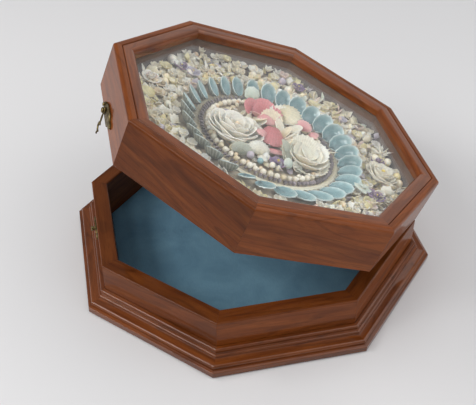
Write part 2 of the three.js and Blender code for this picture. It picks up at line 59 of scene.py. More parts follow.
# A CAD node's low and high corners, in the frame that place puts it in
def nodeBox(name, place=unmoved):
    back = place.inverted()
    points = [back @ (v.co / mm) for v in frame["nodes"][name].data.vertices]
    low = Vector([min(p[i] for p in points) for i in range(3)])
    return low, Vector([max(p[i] for p in points) for i in range(3)])


wallLow, wallHigh = nodeBox("tray_wall_3")
outer, inner, trayHigh = wallHigh.x, wallLow.x, wallHigh.z
lidHinge = next(joint for joint in frame["joints"] if joint["name"] == "lid_hinge")
hinge = Vector(lidHinge["pos_m"]) / mm
lidGap = 2 * (hinge.z - trayHigh)
lidTurn = turned(lidHinge["range_deg"][0], "X")
lidPlace = moved(hinge) @ lidTurn @ moved((0, -hinge.y, lidGap / 2))
inTray, inLid = (unmoved, "tray"), (lidPlace, "lid")
lidHigh = nodeBox("lid_wall_3", lidPlace)[1].z
glassLow, glassHigh = nodeBox("glass_pane", lidPlace)
bedZ = nodeBox("shell_card", lidPlace)[1].z + fit
print("frame read: lid", round(lidHigh, 2), "bed", round(bedZ, 2), "glass", round(glassLow.z, 2))


# Shader helpers: each finds its node tree from a socket or node that it is given

def feed(socket, value):  # a link from another node, or a plain value
    if isinstance(value, bpy.types.NodeSocket):
        socket.id_data.links.new(value, socket)
    elif socket.type == "RGBA":
        socket.default_value = (*value, 1)
    else:
        socket.default_value = value


def wire(node, **inputs):
    for key, value in inputs.items():
        feed(node.inputs[key.replace("_", " ")], value)


def add(owner, kind, settings=None, **inputs):
    node = owner.id_data.nodes.new("ShaderNode" + kind)
    for key, value in (settings or {}).items():
        setattr(node, key, value)
    wire(node, **inputs)
    return node


def mix(factor, first, second, blend="MULTIPLY"):
    node = add(first, "Mix", {"data_type": "RGBA", "blend_type": blend, "clamp_result": True})
    for number, value in ((0, factor), (6, first), (7, second)):
        feed(node.inputs[number], value)
    return node.outputs[2]


def maths(operation, *values):
    node = add(values[0], "Math", {"operation": operation})
    for socket, value in zip(node.inputs, values):
        feed(socket, value)
    return node.outputs[0]


def ramp(factor, *stops):  # stops are (place, colour or grey)
    node = add(factor, "ValToRGB", Fac=factor)
    band = node.color_ramp
    while len(band.elements) < len(stops):
        band.elements.new(0.5)
    for element, (place, colour) in zip(band.elements, stops):
        element.position = place
        element.color = (*colour, 1) if isinstance(colour, tuple) else (colour, colour, colour, 1)
    return node.outputs[0]


def noise(vector, scale, detail=3, roughness=0.5, distortion=0):
    return add(vector, "TexNoise", Vector=vector, Scale=scale, Detail=detail,
               Roughness=roughness, Distortion=distortion).outputs[0]


def stretch(vector, scale):
    return add(vector, "Mapping", Vector=vector, Scale=scale).outputs[0]


def attribute(owner, name, output="Vector"):
    return add(owner, "Attribute", {"attribute_name": name}).outputs[output]


def objectPlace(owner):
    return add(owner, "TexCoord").outputs["Object"]


def bump(height, strength, distance):
    return add(height, "Bump", Height=height, Strength=strength, Distance=distance).outputs[0]


def newMaterial(name, **values):
    material = bpy.data.materials.new(name)
    material.use_nodes = True
    shader = material.node_tree.nodes["Principled BSDF"]
    wire(shader, **values)
    return material, shader


# Walnut, its grain along each board

walnut = {
    "dark": (0.140, 0.031, 0.005),
    "middle": (0.215, 0.054, 0.009),
    "light": (0.275, 0.077, 0.015),
    "streak": (0.060, 0.013, 0.003),
    "roughness": 0.45, "dull": 0.2, "specular": 0.06,
    "lacquer": 0.42, "polish": 1.0, "lacquerRoughness": 0.07,
    "layers": [  # scale along, across and up the board, detail, roughness and distortion
        ((6, 40, 40), 2, 0.45, 0.5), ((16, 210, 150), 4, 0.5, 0.8),
        ((26, 900, 620), 3, 0.55, 0.3), ((110, 2600, 1900), 2, 0.6, 0)],
    "contours": 46.0,  # growth rings are contours of the first layer
}


def makeWalnut(name, lacquer, dull=0.0):
    material, shader = newMaterial(
        name, Roughness=walnut["roughness"] + dull, Coat_Weight=lacquer,
        Coat_Roughness=walnut["lacquerRoughness"], Coat_IOR=1.5, Specular_IOR_Level=walnut["specular"])
    grain = attribute(shader, "grain")
    clouds, figure, lines, pores = (
        noise(stretch(grain, scale), 1, *rest) for scale, *rest in walnut["layers"])
    growth = maths("SINE", maths("MULTIPLY", clouds, walnut["contours"]))
    body = ramp(figure, (0.20, walnut["dark"]), (0.5, walnut["middle"]), (0.80, walnut["light"]))
    toned = mix(1.0, body, ramp(clouds, (0.34, 0.86), (0.64, 1.08)))
    ringed = mix(0.40, toned, ramp(growth, (0.0, 1.0), (0.55, 1.0), (0.95, 0.45)))
    lined = mix(0.4, ringed, ramp(lines, (0.36, 0.60), (0.56, 1.0)))
    poreMask = ramp(pores, (0.33, 0.45), (0.42, 0.0))
    streaked = mix(poreMask, lined, walnut["streak"], "MIX")
    # each board's own tone, and the painted shade on the tray's rim, scale the colour
    wire(shader, Base_Color=mix(1.0, streaked, attribute(shader, "boardToneAndShade")),
         Normal=bump(poreMask, -0.12, 0.0004))
    return material


# Blue cloth, taupe paper, glass and brass

coverings = {
    "blue": ((0.32, (0.090, 0.200, 0.285)), (0.68, (0.145, 0.290, 0.385))),
    "taupe": ((0.35, (0.150, 0.125, 0.112)), (0.65, (0.185, 0.157, 0.142))),
    "brass": ((0.30, (0.060, 0.046, 0.022)), (0.52, (0.180, 0.135, 0.055)),
              (0.74, (0.420, 0.315, 0.130))),
}


def makeCloth():
    material, shader = newMaterial("blueCloth", Roughness=0.9, Sheen_Weight=0.35,
                                   Sheen_Roughness=0.5, Specular_IOR_Level=0.2)
    place = objectPlace(shader)
    threads = noise(stretch(place, (300, 2400, 600)), 1, 2, 0.5)
    base = ramp(noise(place, 26, 5, 0.6, 0.6), *coverings["blue"])
    wire(shader, Base_Color=mix(0.35, base, ramp(threads, (0.3, 0.7), (0.7, 1.0))),
         Normal=bump(noise(place, 900, 2, 0.6), 0.35, 0.0003))
    return material


def makePaper():
    material, shader = newMaterial("taupePaper", Roughness=0.85, Specular_IOR_Level=0.3)
    place = objectPlace(shader)
    wire(shader, Base_Color=ramp(noise(place, 60, 4, 0.6), *coverings["taupe"]),
         Normal=bump(noise(place, 1500, 2), 0.15, 0.0002))
    return material


def makeBrass():
    material, shader = newMaterial("oldBrass", Metallic=1.0)
    place = objectPlace(shader)
    patina = noise(place, 210, 6, 0.7, 0.2)
    wire(shader, Base_Color=ramp(patina, *coverings["brass"]),
         Roughness=ramp(patina, (0.35, 0.62), (0.65, 0.26)),
         Normal=bump(noise(place, 900, 3), 0.2, 0.0002))
    return material


walnutFinish = makeWalnut("walnut", walnut["lacquer"])
polishedWalnut = makeWalnut("polishedWalnut", walnut["polish"])
plainWalnut = makeWalnut("plainWalnut", 0.0, walnut["dull"])
clothFinish = makeCloth()
paperFinish = makePaper()
brassFinish = makeBrass()
glassFinish = newMaterial("clearGlass", Base_Color=(1.0, 1.0, 1.0), Roughness=0.015,
                          Transmission_Weight=1.0, IOR=1.5)[0]
print("materials made")


# Mesh helpers

def polar(r, deg):
    return r * cos(radians(deg)), r * sin(radians(deg))


def arc(cx, cy, r, fromDeg, toDeg, steps=8):
    points = [polar(r, fromDeg + (toDeg - fromDeg) * i / steps) for i in range(steps + 1)]
    return [(cx + x, cy + y) for x, y in points]


def newMesh(name, bm):
    mesh = bpy.data.meshes.new(name)
    bm.to_mesh(mesh)
    bm.free()
    return mesh


def newObject(name, data):
    thing = bpy.data.objects.new(name, data)
    bpy.context.scene.collection.objects.link(thing)
    return thing


def finishPiece(name, bm, home, nodes, materials, sharpDeg=40, weighted=False):
    place, body = home
    bmesh.ops.transform(bm, matrix=Matrix.Scale(mm, 4) @ place, verts=bm.verts)
    for face in bm.faces:
        face.smooth = True
    for edge in bm.edges:
        if len(edge.link_faces) == 2:
            edge.smooth = edge.calc_face_angle(0) < radians(sharpDeg)
    mesh = newMesh(name, bm)
    piece = newObject(name, mesh)
    for material in materials:
        mesh.materials.append(material)
    if weighted:
        piece.modifiers.new("weightedNormal", "WEIGHTED_NORMAL").keep_sharp = True
    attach(piece, body)
    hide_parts(*nodes)
    return piece


# Gives a board its own grain coordinates, slanted and shifted, and its own brightness
def setGrain(bm, shift, slant=unmoved, tone=1.0):
    layer = bm.verts.layers.float_vector.new("grain")
    toneLayer = bm.verts.layers.float_vector.new("boardToneAndShade")
    for v in bm.verts:
        v[layer] = (slant @ v.co + Vector(shift)) * mm
        v[toneLayer] = (tone, tone, tone)


def turnOut(bm):
    bmesh.ops.recalc_face_normals(bm, faces=bm.faces)


def raiseFace(bm, face, depth):  # a solid from one face, pushed out by depth
    made = bmesh.ops.extrude_face_region(bm, geom=[face])["geom"]
    bmesh.ops.translate(bm, verts=[g for g in made if isinstance(g, bmesh.types.BMVert)], vec=depth)
    turnOut(bm)


def polygon(bm, corners, radius, z):
    bmesh.ops.create_circle(bm, cap_ends=True, segments=corners, radius=radius,
                            matrix=moved((0, 0, z)) @ turned(180 / corners))


def soften(bm, edges, offset, clamp=False):
    bmesh.ops.bevel(bm, geom=edges, offset=offset, offset_type="OFFSET", segments=3, profile=0.5,
                    affect="EDGES", clamp_overlap=clamp, material=-1)


def extrudeOutline(bm, points, depth):
    raiseFace(bm, bm.faces.new([bm.verts.new(p) for p in points]), depth)


def boxes(spans, place=unmoved):  # a box for each low and high corner
    bm = bmesh.new()
    for low, high in spans:
        size = [b - a for a, b in zip(low, high)]
        middle = moved([(a + b) / 2 for a, b in zip(low, high)])
        bmesh.ops.create_cube(bm, size=1, matrix=place @ middle @ Matrix.Diagonal((*size, 1)))
    return bm


def subtract(bm, cutter):  # what is left of bm, both in millimetres
    pair = [newObject("shape", newMesh("shape", shape)) for shape in (bm, cutter)]
    modifier = pair[0].modifiers.new("cut", "BOOLEAN")
    modifier.object, modifier.operation, modifier.solver = pair[1], "DIFFERENCE", "EXACT"
    bpy.context.view_layer.update()
    depsgraph = bpy.context.evaluated_depsgraph_get()
    solved = bpy.data.meshes.new_from_object(pair[0].evaluated_get(depsgraph))
    left = bmesh.new()
    left.from_mesh(solved)
    bpy.data.meshes.remove(solved)
    for thing in pair:
        bpy.data.meshes.remove(thing.data)
    return left


# Boards and mouldings: one profile for each kind, mitred at the corners

boards = {
    "rimRound": 1.2,
    "lidRound": 3, "lidEdge": 0.7, "groove": 1.0,
    "rebate": 6.35,  # from the lid's outside to its glazing beads
    "sight": 16.5,  # from the lid's outside to the beads' inner edge
    "beadRound": 4, "beadEdge": 1.0, "beadDrop": 0.2, "beadGap": 0.12,
    "mitreGap": 0.06,
    "beyond": 20, "spare": 12,  # a board is cut from a longer one
    "backSide": 5,
    "grainStep": (137.0, 31.0, 17.0),
    "slant": 2.2, "steep": {18: -9.0, 17: 3.0},  # the grain's slope, and that of two boards of the lid
    "rimPaintedShade": 0.78, "rimDepth": 0.4,  # painted shade: the tray's rim is darker than its sides, standing in for the shade under the lid
    "trayTones": (1.0, 0.92, 1.0, 0.95, 1.0, 0.95, 1.05, 0.9),
    "mouldingTones": (0.80, 0.86, 0.80, 0.84, 0.78, 0.84, 0.84, 0.80),
    "lidTones": (1.10, 0.76, 1.10, 1.10, 0.95, 1.0, 1.12, 1.0),
    "beadTones": (1.0, 1.0, 1.0, 1.0, 1.0, 1.1, 1.05, 1.0),
}


def traySection():
    r = boards["rimRound"]
    return [(inner, 0), (outer, 0), *arc(outer - r, trayHigh - r, r, 0, 90),
            *arc(inner + r, trayHigh - r, r, 90, 180)]


def mouldingSection():  # from the foot up: a square foot, a torus, a bead and a rounded cap
    low, high = nodeBox("base_moulding_3")
    a, out, top = low.x, high.x, high.z
    foot, torus, bead, cap = 0.6, 2.2, 1.6, 1.7
    return [(a, 0), (out - foot, 0), (out, foot), *arc(out - foot, 4.6, foot, 0, 60, 3),
            (out - 1.2, 5.6), (out - 2.4, 5.75), *arc(out - 4.7, 7.2, torus, -12, 80, 10),
            (out - 6.6, 9.35), (out - 9.1, 9.85), *arc(out - 10.9, 11.2, bead, -24, 84, 9),
            (out - 11.4, 12.85), *arc(out - 10.1, 13.6, 1.35, 210, 178, 3),
            *arc(a + cap, top - cap, cap, 8, 90, 8), (a, top)]


def lidSection():
    r, edge, groove = boards["lidRound"], boards["lidEdge"], boards["groove"]
    rebate, ledge = outer - boards["rebate"], glassLow.z - fit
    return [(inner, 0), (outer - edge, 0), (outer, edge), *arc(outer - r, lidHigh - r, r, 0, 90, 10),
            *arc(rebate + groove, lidHigh - groove, groove, 90, 180, 4),
            (rebate, ledge), (inner, ledge)]


def beadSection():
    r, edge = boards["beadRound"], boards["beadEdge"]
    a, sight = outer - boards["rebate"] - boards["beadGap"], outer - boards["sight"]
    foot, top = glassHigh.z + fit, lidHigh - boards["beadDrop"]
    return [(sight, foot), (a, foot), *arc(a - edge, top - edge, edge, 0, 90, 4),
            *arc(sight + r, top - r, r, 90, 180, 10)]


def mitredBoard(section, order, tone, cutter=None):
    bm = bmesh.new()
    reach = (outer + boards["beyond"]) * tan(half) + boards["spare"]
    extrudeOutline(bm, [(-reach, -a, z) for a, z in section], (2 * reach, 0, 0))
    for end in (-1, 1):
        away = Vector((end * cos(half), sin(half), 0))
        everything = bm.verts[:] + bm.edges[:] + bm.faces[:]
        found = bmesh.ops.bisect_plane(bm, geom=everything, clear_outer=True, plane_no=away,
                                       plane_co=away * -boards["mitreGap"] / 2)
        cutEdges = [g for g in found["geom_cut"] if isinstance(g, bmesh.types.BMEdge)]
        bmesh.ops.edgeloop_fill(bm, edges=cutEdges)
    turnOut(bm)
    if cutter is not None:
        bm = subtract(bm, cutter)
    slantDeg = boards["steep"].get(order, boards["slant"] * (order * 3 % 7 - 3))
    step = boards["grainStep"]
    setGrain(bm, (step[0] * order, step[1] * (order % 5), step[2] * (order % 7)),
             turned(slantDeg, "Y"), tone)
    return bm


leafReach = 13
hinges = {
    "centres": [nodeBox("hinge_leaf_tray_" + number)[0].x + leafReach for number in "12"],
    "thick": 0.9, "inset": 2, "short": 0.2, "soft": 0.12,
    "recess": 1.1, "clear": 0.15, "over": 2,  # how deep and how wide the rims are cut for them
    "tongue": 1.475, "bore": 1.05, "knuckle": 1.9, "chamfer": 0.15,
    "screws": ((-9, 4.2), (0, 6.6), (9, 4.2)), "screwR": 1.7, "lineWide": 0.22, "lineDeep": 0.14,
    "slotDeep": 0.28, "slotLong": 0.95, "slotTurn": 0.7, "steps": 28,
    "pinR": 0.8, "finial": [(-0.05, 0.8), (0, 1.0), (0.25, 1.1), (0.7, 0.95), (1.0, 0.5), (1.1, 0)],
}


def leafRecesses(z0, z1):
    reach = leafReach + hinges["clear"]
    near = inner + hinges["inset"] - hinges["clear"]
    far = outer + hinges["over"]
    return [((x - reach, near, z0), (x + reach, far, z1)) for x in hinges["centres"]]


def makeBoards():
    deep, over = hinges["recess"], hinges["over"]
    kinds = [
        ("trayWall", "tray_wall_", traySection(), inTray, walnutFinish, boards["trayTones"],
         leafRecesses(trayHigh - deep, trayHigh + over)),
        ("baseMoulding", "base_moulding_", mouldingSection(), inTray, polishedWalnut,
         boards["mouldingTones"], None),
        ("lidWall", "lid_wall_", lidSection(), inLid, walnutFinish, boards["lidTones"],
         leafRecesses(-over, deep)),
        ("glazingBead", "glazing_bead_", beadSection(), inLid, polishedWalnut,
         boards["beadTones"], None),
    ]
    for kind, (name, node, section, (place, body), finish, tones, recesses) in enumerate(kinds):
        for side in range(1, sides + 1):
            around = turned(360 / sides * (side - 1))
            cutter = None
            if recesses and side == boards["backSide"]:
                cutter = boxes(recesses, around.inverted())
            bm = mitredBoard(section, side + sides * kind, tones[side - 1], cutter)
            # painted shade: the top of each tray wall is darkened, for the shade under the lid
            if name == "trayWall":
                layer = bm.verts.layers.float_vector["boardToneAndShade"]
                for v in bm.verts:
                    if v.co.z > trayHigh - boards["rimDepth"]:
                        v[layer] = v[layer] * boards["rimPaintedShade"]
            finishPiece(name + "_" + str(side), bm, (place @ around, body),
                        [node + str(side)], [finish], weighted=True)


flatPieces = {  # node, where it belongs, slot, finish and the rounding of the edges
    "bottomBoard": ("bottom_board", inTray, "walnut", plainWalnut, 0.4),
    "trayLining": ("tray_lining", inTray, "blue_cloth", clothFinish, 0.9),
    "backingBoard": ("backing_board", inLid, "walnut", plainWalnut, 0.3),
    "lidLining": ("lid_lining", inLid, "blue_cloth", clothFinish, 0.4),
    "glassPane": ("glass_pane", inLid, "glass", glassFinish, 0.25),
}


def makeFlatPieces():
    for name, (node, home, slot, finish, edge) in flatPieces.items():
        low, high = nodeBox(node, home[0])
        bm = bmesh.new()
        polygon(bm, sides, high.x / cos(half), low.z)
        bm.faces.ensure_lookup_table()
        raiseFace(bm, bm.faces[0], (0, 0, high.z - low.z))
        soften(bm, bm.edges[:], edge)
        setGrain(bm, (900, 400, 70))
        piece = finishPiece(name, bm, home, [node], [finish], weighted=True)
        piece.visible_shadow = finish is not glassFinish


makeBoards()
makeFlatPieces()
for name in ("side_lining", "shell_card"):
    papered = frame["nodes"][name].data.materials
    papered.clear()
    papered.append(paperFinish)
print("boards made")


# Brass: the clasp, its catch and the two hinges

def spun(points, steps):  # points are [distance along X, radius], turned about X
    bm = bmesh.new()
    chain = [bm.verts.new((x, 0, r)) for x, r in points]
    edges = [bm.edges.new(pair) for pair in zip(chain, chain[1:])]
    bmesh.ops.spin(bm, geom=chain + edges, cent=(0, 0, 0), axis=(1, 0, 0), steps=steps,
                   angle=2 * pi, use_merge=True)
    bmesh.ops.remove_doubles(bm, verts=bm.verts, dist=0.002)
    turnOut(bm)
    return bm


def joinPart(bm, part, place=unmoved):
    bmesh.ops.transform(part, matrix=place, verts=part.verts)
    mesh = newMesh("part", part)
    bm.from_mesh(mesh)
    bpy.data.meshes.remove(mesh)


def softPlate(points, depth, soft):  # a plate pushed out by depth, its far edge rounded
    part = bmesh.new()
    extrudeOutline(part, points, depth)
    way = Vector(depth).normalized()
    far = max(v.co @ way for v in part.verts)
    rim = [e for e in part.edges if all(v.co @ way > far - 0.01 for v in e.verts)]
    soften(part, rim, soft, clamp=True)
    return part


def rod(points, flat, around=12):  # a rod through points of X, Z and radius, flattened along Y
    part = bmesh.new()
    loops = []
    for i, (x, z, r) in enumerate(points):
        before, after = points[max(0, i - 1)], points[min(len(points) - 1, i + 1)]
        along = Vector((after[0] - before[0], 0, after[1] - before[1])).normalized()
        side = Vector((along.z, 0, -along.x))
        angles = [2 * pi * k / around for k in range(around)]
        loops.append([part.verts.new(Vector((x, 0, z)) + side * r * cos(a)
                                     + Vector((0, r * flat * sin(a), 0))) for a in angles])
    for low, high in zip(loops, loops[1:]):
        for k in range(around):
            part.faces.new((low[k], low[k - 1], high[k - 1], high[k]))
    part.faces.new(loops[0])
    part.faces.new(loops[-1])
    turnOut(part)
    return part


brass = {
    "plate": 1.2, "sink": 0.2, "soft": 0.35, "headSteps": 20,
    "clasp": (17.5, 5.2, 3.0, 6.6),  # half length, half height, lobe and height of the middle
    "catch": (13.5, 4.2, 2.6),
    "pivot": (-7, 6), "knobX": 14.5, "catchPinX": 10,
    "knob": [(0, 1.3), (0.5, 1.1), (0.8, 1.5), (1.2, 1.8), (1.6, 1.5), (1.9, 0.8), (2.0, 0)],
    "pin": [(0, 1.4), (0.22, 1.3), (0.36, 0.8), (0.4, 0)],
    "rivet": [(0, 1.2), (2.2, 1.2), (2.2, 2.2), (2.5, 2.3), (3.0, 2.0), (3.35, 1.2), (3.5, 0)],
    "stud": [(0, 1.5), (2.2, 1.5), (2.2, 2.3), (2.6, 2.4), (3.2, 2.1), (3.65, 1.2), (3.8, 0)],
}
plateFace = outer + fit + brass["plate"]


def lobedOutline(halfLength, halfHeight, lobe, middle):
    neck = halfLength - 2.2 * lobe
    quarter = [(halfLength, 0.0)]
    for corner, end in (((halfLength - lobe * 0.6, lobe), (halfLength - 1.6 * lobe, lobe * 0.75)),
                        ((neck, lobe * 0.5), (neck - lobe, halfHeight))):
        start = quarter[-1]
        for i in range(1, 7):
            t = i / 6
            quarter.append(tuple((1 - t) ** 2 * a + 2 * t * (1 - t) * b + t * t * c
                                 for a, b, c in zip(start, corner, end)))
    upper = quarter + [(-x, z) for x, z in reversed(quarter)]
    lower = [(x, -z) for x, z in reversed(upper[1:-1])]
    return [(x, middle + z) for x, z in upper + lower]


def wallPlate(sizes, heads):  # a lobed plate on a front wall, with turned heads at x and z
    bm = bmesh.new()
    points = [(x, -outer - fit, z) for x, z in lobedOutline(*sizes)]
    joinPart(bm, softPlate(points, (0, -brass["plate"], 0), brass["soft"]))
    for kind, x, z in heads:
        joinPart(bm, spun(brass[kind], brass["headSteps"]),
                 moved((x, brass["sink"] - plateFace, z)) @ turned(-90))
    return bm


def brassPiece(name, bm, home, node):
    finishPiece(name, bm, home, [node], [brassFinish])


def makeClasp():
    z = brass["clasp"][3]
    heads = [("knob", -brass["knobX"], z), ("pin", brass["knobX"], z), ("rivet", *brass["pivot"])]
    brassPiece("claspPlate", wallPlate(brass["clasp"], heads), inLid, "clasp_plate")
    low, high = nodeBox("catch_plate")
    z = (low.z + high.z) / 2
    heads = [("stud", 0, z), ("pin", -brass["catchPinX"], z), ("pin", brass["catchPinX"], z)]
    brassPiece("catchPlate", wallPlate((*brass["catch"], z), heads), inTray, "catch_plate")


hook = {  # measured from its pivot, each rod with its flatness across the plate
    "reach": 15, "thick": 1.4,
    "eyeR": 2.25, "eyeWire": 0.75, "eyeFlat": 0.93,
    "arm": [(0, -2.3, 0.8), (0, -4, 1.05), (0, -7, 1.25), (0, -9.5, 1.1)], "armR": 1.25, "throat": 0.9,
    "mouth": 3.35, "mouthWire": [0.55, 0.85] + [0.95] * 19 + [0.8, 0.5], "mouthFlat": 0.73,
    "tail": [(-1.2, -18.2, 0.8), (-1.45, -19.6, 0.6), (-1.55, -20.7, 0.8), (-1.6, -21.2, 1.1),
             (-1.6, -21.7, 1.2), (-1.6, -22.2, 0.95), (-1.6, -22.6, 0.4)], "tailFlat": 0.58,
}


def makeHook():
    eye = [(x, z, hook["eyeWire"]) for x, z in arc(0, 0, hook["eyeR"], 0, 360, 24)]
    arm = hook["arm"] + [(0, hook["mouth"] - hook["reach"], hook["throat"])]
    curl = arc(0, -hook["reach"], hook["mouth"], 52, 308, len(hook["mouthWire"]) - 1)
    mouth = [(x, z, r) for (x, z), r in zip(curl, hook["mouthWire"])]
    bm = bmesh.new()
    for points, flat in ((eye, hook["eyeFlat"]), (arm, hook["thick"] / 2 / hook["armR"]),
                         (mouth, hook["mouthFlat"]), (hook["tail"], hook["tailFlat"])):
        joinPart(bm, rod(points, flat))
    across, up = brass["pivot"]
    hookPlace = moved((across, -plateFace - fit - hook["thick"] / 2, up))
    brassPiece("claspHook", bm, (lidPlace @ hookPlace, "hook"), "clasp_hook")


def hingeLeaf(x, axisZ, low, tongues):  # a leaf let into a rim, with its knuckles about the axis
    bm = bmesh.new()
    reach, near, edge = leafReach, inner + hinges["inset"], outer - hinges["short"]
    tongueEnd = hinge.y - hinges["tongue"]
    rim = [(reach, edge)]
    for a, b in reversed(tongues):
        rim += [(b, edge), (b, tongueEnd), (a, tongueEnd), (a, edge)]
    rim.append((-reach, edge))
    points = [(-reach, near), (reach, near)] + [p for p in rim if rim.count(p) == 1]
    joinPart(bm, softPlate([(x + a, b, low) for a, b in points], (0, 0, hinges["thick"]),
                           hinges["soft"]))
    bore, knuckle, chamfer = hinges["bore"], hinges["knuckle"], hinges["chamfer"]
    shoulder = knuckle - chamfer
    for a, b in tongues:
        tube = [(a, bore), (a, shoulder), (a + chamfer, knuckle), (b - chamfer, knuckle), (b, shoulder),
                (b, bore), (a, bore)]
        joinPart(bm, spun(tube, hinges["steps"]), moved((x, hinge.y, axisZ)))
    return bm


def screwCutter(points, order):  # a fine ring and a slot for each flush screw head
    cutter = bmesh.new()
    r, wide, deep = (hinges[key] for key in ("screwR", "lineWide", "lineDeep"))
    long, slotDeep = hinges["slotLong"] * r, hinges["slotDeep"]
    for k, (x, y, z) in enumerate(points):
        place = moved((x, y, z))
        ringCut = spun([(-deep, r), (-deep, r + wide), (deep, r + wide), (deep, r), (-deep, r)],
                       hinges["steps"])
        joinPart(cutter, ringCut, place @ turned(90, "Y"))
        slotPlace = place @ Matrix.Rotation(hinges["slotTurn"] * k + order, 4, "Z")
        joinPart(cutter, boxes([((-long, -wide, -slotDeep), (long, wide, slotDeep))], slotPlace))
    return cutter


def makeHinges():
    third, reach, gap = leafReach / 3, leafReach, fit / 2
    ends, middle = [(-reach, -third - gap), (third + gap, reach)], [(gap - third, third - gap)]
    neck = reach + fit
    halfPin = [(reach, hinges["pinR"])] + [(neck + x, r) for x, r in hinges["finial"]]
    pinShape = [(-x, r) for x, r in reversed(halfPin)] + halfPin
    thick, near = hinges["thick"], inner + hinges["inset"]
    for i, x in enumerate(hinges["centres"]):
        number = "_" + str(i + 1)
        for name, node, home, axisZ, low, face, tongues in (
                ("hingeLeafTray", "hinge_leaf_tray", inTray, hinge.z, trayHigh - thick, trayHigh, ends),
                ("hingeLeafLid", "hinge_leaf_lid", inLid, -lidGap / 2, 0, 0, middle)):
            screws = screwCutter([(x + a, near + b, face) for a, b in hinges["screws"]], i)
            leaf = subtract(hingeLeaf(x, axisZ, low, tongues), screws)
            brassPiece(name + number, leaf, home, node + number)
        pinHome = (moved((x, hinge.y, hinge.z)), "tray")
        pin = spun(pinShape, brass["headSteps"])
        brassPiece("hingePin" + number, pin, pinHome, "hinge_pin" + number)


makeClasp()
makeHook()
makeHinges()
print("brass made")


# Shell work: a few cut forms, stamped many times, each with its own tint

shellTints = {  # root and lip
    "cream": ((0.70, 0.57, 0.34), (0.90, 0.81, 0.60)),
    "ivory": ((0.80, 0.69, 0.48), (0.92, 0.88, 0.74)),
    "white": ((0.90, 0.83, 0.66), (0.96, 0.93, 0.83)),
    "butter": ((0.66, 0.52, 0.22), (0.84, 0.74, 0.42)),
    "peach": ((0.66, 0.42, 0.24), (0.84, 0.68, 0.48)),
    "blush": ((0.62, 0.38, 0.33), (0.84, 0.66, 0.58)),
    "pink": ((0.46, 0.10, 0.12), (0.76, 0.30, 0.32)),
    "deepPink": ((0.38, 0.08, 0.09), (0.60, 0.22, 0.23)),
    "palePink": ((0.62, 0.20, 0.22), (0.82, 0.46, 0.45)),
    "lilac": ((0.30, 0.25, 0.33), (0.58, 0.54, 0.62)),
    "purple": ((0.08, 0.045, 0.11), (0.26, 0.19, 0.32)),
    "sage": ((0.24, 0.26, 0.19), (0.50, 0.52, 0.42)),
    "mint": ((0.44, 0.52, 0.42), (0.72, 0.78, 0.67)),
    "slate": ((0.06, 0.05, 0.06), (0.26, 0.23, 0.25)),
    "teal": ((0.10, 0.26, 0.30), (0.30, 0.52, 0.56)),
    "yellow": ((0.62, 0.42, 0.03), (0.82, 0.66, 0.10)),
    "brown": ((0.16, 0.09, 0.04), (0.34, 0.22, 0.12)),
}
dice = random.Random(11)
between, pick = dice.uniform, dice.choice


def spread(amount):
    return between(-amount, amount)


def shellLayers(bm):
    coord = bm.verts.layers.float_vector.new("shellCoord")
    bm.verts.layers.float_color.new("tint")
    return coord


# Half a shell, one unit long, from its hinge at the origin along +X with its dome up
def valve(along, across, width, dome, fan=84, power=1.0, ridges=0, ribDeep=0.0, serrate=0.0, curl=0.0,
          thick=0.035, peak=0.7):
    bm = bmesh.new()
    bmesh.ops.create_grid(bm, x_segments=along, y_segments=across, size=1)
    coord = shellLayers(bm)
    for v in bm.verts:
        t, s = (v.co.x + 1) / 2, v.co.y
        a = radians(fan) * s
        wave = cos(pi * ridges * (s + 1)) if ridges else 0
        reach = t * cos(a) ** power * (1 + serrate * wave * t)
        rise = dome * sin(pi * t ** peak) ** 0.8 * (1 - abs(s) ** 3)
        v[coord] = (t, s, 0)
        v.co = (reach * cos(a), reach * sin(a) * width,
                rise + ribDeep * wave * sin(pi * min(1, 0.15 + t)) ** 0.5 * t + curl * t * t)
    bmesh.ops.remove_doubles(bm, verts=bm.verts, dist=0.004)
    turnOut(bm)
    if bm.faces[0].normal.z < 0:
        bmesh.ops.reverse_faces(bm, faces=bm.faces)
    bm.normal_update()
    normals = {v: v.normal.copy() for v in bm.verts}
    top = list(bm.verts)
    bmesh.ops.extrude_face_region(bm, geom=bm.faces[:], use_keep_orig=True)
    for v in top:
        v.co -= normals[v] * thick
    turnOut(bm)
    return keepForm(bm)


def keepForm(bm):  # the second material is for faces that look down
    bm.normal_update()
    for face in bm.faces:
        face.smooth = True
        face.material_index = 1 if face.normal.z < -0.02 else 0
    return newMesh("shellForm", bm)


def spunForm(points, steps):  # points are [distance along X, radius], spun about X
    bm = spun(points, steps)
    coord = shellLayers(bm)
    length = points[-1][0]
    for v in bm.verts:
        v[coord] = (max(0, min(1, v.co.x / length)), atan2(v.co.y, v.co.z) / pi, 0)
    mesh = keepForm(bm)
    for face in mesh.polygons:
        face.material_index = 0
    return mesh


def pose(x, y, z, heading, pitch=0.0, roll=0.0, size=1.0, wide=1.0):  # z is above the bed
    aim = turned(heading) @ turned(-pitch, "Y") @ turned(roll, "X")
    return moved((x, y, bedZ + z)) @ aim @ Matrix.Diagonal((size, size * wide, size, 1))


def shellMesh():
    bm = bmesh.new()
    shellLayers(bm)
    return bm


stampMesh = bpy.data.meshes.new("stamp")


def stamp(bm, form, place, tint, shade=1.0):  # adds one form to bm, moved and tinted
    one = bmesh.new()
    one.from_mesh(forms[form])
    bmesh.ops.transform(one, matrix=place, verts=one.verts)
    layer, coord = one.verts.layers.float_color["tint"], one.verts.layers.float_vector["shellCoord"]
    root, lip = shellTints[tint]
    number = dice.random()
    for v in one.verts:
        t = v[coord].x
        v[layer] = (*(min(1, shade * (a + (b - a) * t)) for a, b in zip(root, lip)), 1)
        v[coord] = (t, v[coord].y, number)
    one.to_mesh(stampMesh)
    one.free()
    bm.from_mesh(stampMesh)


bedTint = (0.44, 0.38, 0.28, 1)
shellSharp = 70


